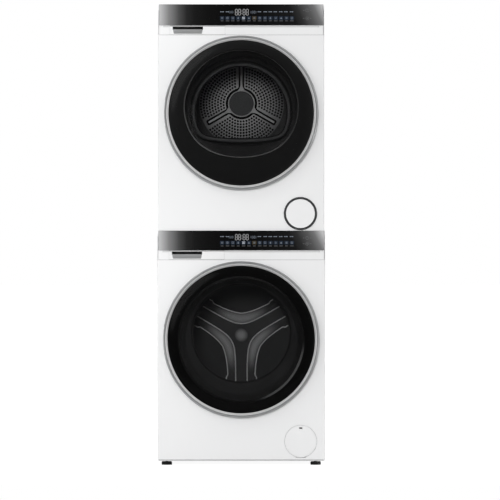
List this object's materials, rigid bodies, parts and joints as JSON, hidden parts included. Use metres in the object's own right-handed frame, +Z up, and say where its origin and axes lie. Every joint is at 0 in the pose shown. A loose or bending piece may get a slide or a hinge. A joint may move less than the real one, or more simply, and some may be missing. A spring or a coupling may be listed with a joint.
{
  "type": "washer dryer stack",
  "caption": "Tumble dryer stacked on a front-loading washing machine, with round glass doors, turning drums, sliding drawers, flaps and levelling feet.",
  "frame": {"origin": "on the floor, under the middle of the stack's box", "axes": "+X to the right seen from the front, +Y from the doors to the back, +Z up"},
  "size_m": [0.6, 0.62, 1.6487],
  "materials": {
    "white_steel": "smooth white enamel",
    "white_plastic": "satin white plastic",
    "control_glass": "black glass",
    "door_glass": "dark tinted glass",
    "bowl_glass": "clear glass",
    "door_ring": "bevelled satin metal",
    "steel": "stainless steel",
    "zinc_steel": "zinc-plated steel",
    "cast_aluminium": "cast aluminium",
    "iron": "cast iron",
    "dark_plastic": "dark plastic",
    "grey_plastic": "grey plastic",
    "trim_plastic": "dark grey plastic",
    "rubber": "dark rubber",
    "motor": "motor with dark paint"
  },
  "bodies": {
    "cabinets": {"washer_base_pan": "zinc_steel", "washer_side_panels": "white_steel", "washer_rear_panel": "zinc_steel", "washer_top_plate": "white_plastic", "washer_front_panel": "white_steel", "washer_fascia": "white_plastic", "washer_control_panel": "control_glass", "washer_tub": "grey_plastic", "washer_gasket": "rubber", "washer_counterweight": "iron", "washer_bearings": "steel", "washer_motor_stator": "motor", "washer_suspension": "zinc_steel", "drain_pump": "grey_plastic", "washer_inlet_valve": "grey_plastic", "washer_dispenser": "grey_plastic", "dryer_base": "dark_plastic", "dryer_side_panels": "white_steel", "dryer_rear_panel": "zinc_steel", "dryer_top_plate": "white_plastic", "dryer_front_panel": "white_steel", "dryer_fascia": "white_plastic", "dryer_control_panel": "control_glass", "dryer_bulkhead": "dark_plastic", "dryer_heat_pump": "cast_aluminium", "dryer_motor_stator": "motor", "dryer_belt": "rubber", "service_cover_ring": "trim_plastic", "door_fittings": "zinc_steel", "mains_glands": "dark_plastic", "drain_spigots": "grey_plastic", "stacking_rails": "dark_plastic"},
    "washer_door": {"washer_door_ring": "door_ring", "washer_door_glass": "door_glass", "washer_door_bowl": "bowl_glass", "washer_door_hinge_and_hook": "cast_aluminium"},
    "washer_drum": {"washer_drum_shell": "steel", "washer_drum_back": "steel", "washer_drum_lifters": "grey_plastic", "washer_drum_spider": "cast_aluminium", "washer_motor_rotor": "motor"},
    "detergent_drawer": {"detergent_drawer": "white_plastic"},
    "filter_flap": {"filter_flap": "white_plastic"},
    "filter_cap": {"filter_cap": "grey_plastic"},
    "foot_front_left": {"washer_foot_front_left": "dark_plastic"},
    "foot_front_right": {"washer_foot_front_right": "dark_plastic"},
    "foot_rear_left": {"washer_foot_rear_left": "dark_plastic"},
    "foot_rear_right": {"washer_foot_rear_right": "dark_plastic"},
    "dryer_door": {"dryer_door_ring": "door_ring", "dryer_door_glass": "door_glass", "dryer_door_bowl": "bowl_glass", "dryer_door_hinge_and_hook": "cast_aluminium"},
    "dryer_drum": {"dryer_drum_shell": "steel", "dryer_drum_back": "steel"},
    "dryer_motor_rotor": {"dryer_motor_rotor": "steel"},
    "dryer_roller_left": {"dryer_roller_left": "dark_plastic"},
    "dryer_roller_right": {"dryer_roller_right": "dark_plastic"},
    "water_tank": {"water_tank": "white_plastic"},
    "lint_filter": {"lint_filter": "grey_plastic"},
    "service_cover": {"service_cover": "white_plastic"}
  },
  "joints": [
    {"name": "washer_door_hinge", "type": "hinge", "parent": "cabinets", "child": "washer_door", "pos_m": [-0.274, -0.292, 0.45], "axis": [0, 0, -1], "range_deg": [0, 130]},
    {"name": "washer_drum_spin", "type": "hinge", "parent": "cabinets", "child": "washer_drum", "pos_m": [0, 0, 0.458], "axis": [0, 1, 0], "continuous": true},
    {"name": "detergent_drawer_slide", "type": "slide", "parent": "cabinets", "child": "detergent_drawer", "axis": [0, -1, 0], "range_m": [0, 0.2]},
    {"name": "filter_flap_hinge", "type": "hinge", "parent": "cabinets", "child": "filter_flap", "pos_m": [0.213, -0.2707, 0.0295], "axis": [1, 0, 0], "range_deg": [0, 90]},
    {"name": "filter_cap_turn", "type": "hinge", "parent": "cabinets", "child": "filter_cap", "pos_m": [0.213, -0.242, 0.0854], "axis": [0, -1, 0], "range_deg": [0, 90]},
    {"name": "dryer_door_hinge", "type": "hinge", "parent": "cabinets", "child": "dryer_door", "pos_m": [-0.2703, -0.292, 1.26], "axis": [0, 0, -1], "range_deg": [0, 130]},
    {"name": "dryer_drum_spin", "type": "hinge", "parent": "cabinets", "child": "dryer_drum", "pos_m": [0, 0, 1.31], "axis": [0, 1, 0], "continuous": true},
    {"name": "dryer_motor_spin", "type": "hinge", "parent": "cabinets", "child": "dryer_motor_rotor", "pos_m": [0, 0, 0.9037], "axis": [0, 1, 0], "continuous": true},
    {"name": "roller_left_spin", "type": "hinge", "parent": "cabinets", "child": "dryer_roller_left", "pos_m": [-0.126, -0.132, 1.03951], "axis": [0, 1, 0], "continuous": true},
    {"name": "roller_right_spin", "type": "hinge", "parent": "cabinets", "child": "dryer_roller_right", "pos_m": [0.126, -0.132, 1.03951], "axis": [0, 1, 0], "continuous": true},
    {"name": "water_tank_slide", "type": "slide", "parent": "cabinets", "child": "water_tank", "axis": [0, -1, 0], "range_m": [0, 0.3]},
    {"name": "lint_filter_lift", "type": "slide", "parent": "cabinets", "child": "lint_filter", "axis": [0, 0, 1], "range_m": [0, 0.13]},
    {"name": "service_cover_hinge", "type": "hinge", "parent": "cabinets", "child": "service_cover", "pos_m": [0.212, -0.2733, 0.8501], "axis": [1, 0, 0], "range_deg": [0, 90]},
    {"name": "foot_front_left_turn", "type": "hinge", "parent": "cabinets", "child": "foot_front_left", "pos_m": [-0.267, -0.227, 0.01], "axis": [0, 0, 1], "continuous": true},
    {"name": "foot_front_right_turn", "type": "hinge", "parent": "cabinets", "child": "foot_front_right", "pos_m": [0.267, -0.227, 0.01], "axis": [0, 0, 1], "continuous": true},
    {"name": "foot_rear_left_turn", "type": "hinge", "parent": "cabinets", "child": "foot_rear_left", "pos_m": [-0.267, 0.243, 0.01], "axis": [0, 0, 1], "continuous": true},
    {"name": "foot_rear_right_turn", "type": "hinge", "parent": "cabinets", "child": "foot_rear_right", "pos_m": [0.267, 0.243, 0.01], "axis": [0, 0, 1], "continuous": true}
  ],
  "couplings": [
    {"joint": "dryer_motor_spin", "follows": "dryer_drum_spin", "ratio": 23.832},
    {"joint": "roller_left_spin", "follows": "dryer_drum_spin", "ratio": -8.9333},
    {"joint": "roller_right_spin", "follows": "dryer_drum_spin", "ratio": -8.9333}
  ]
}
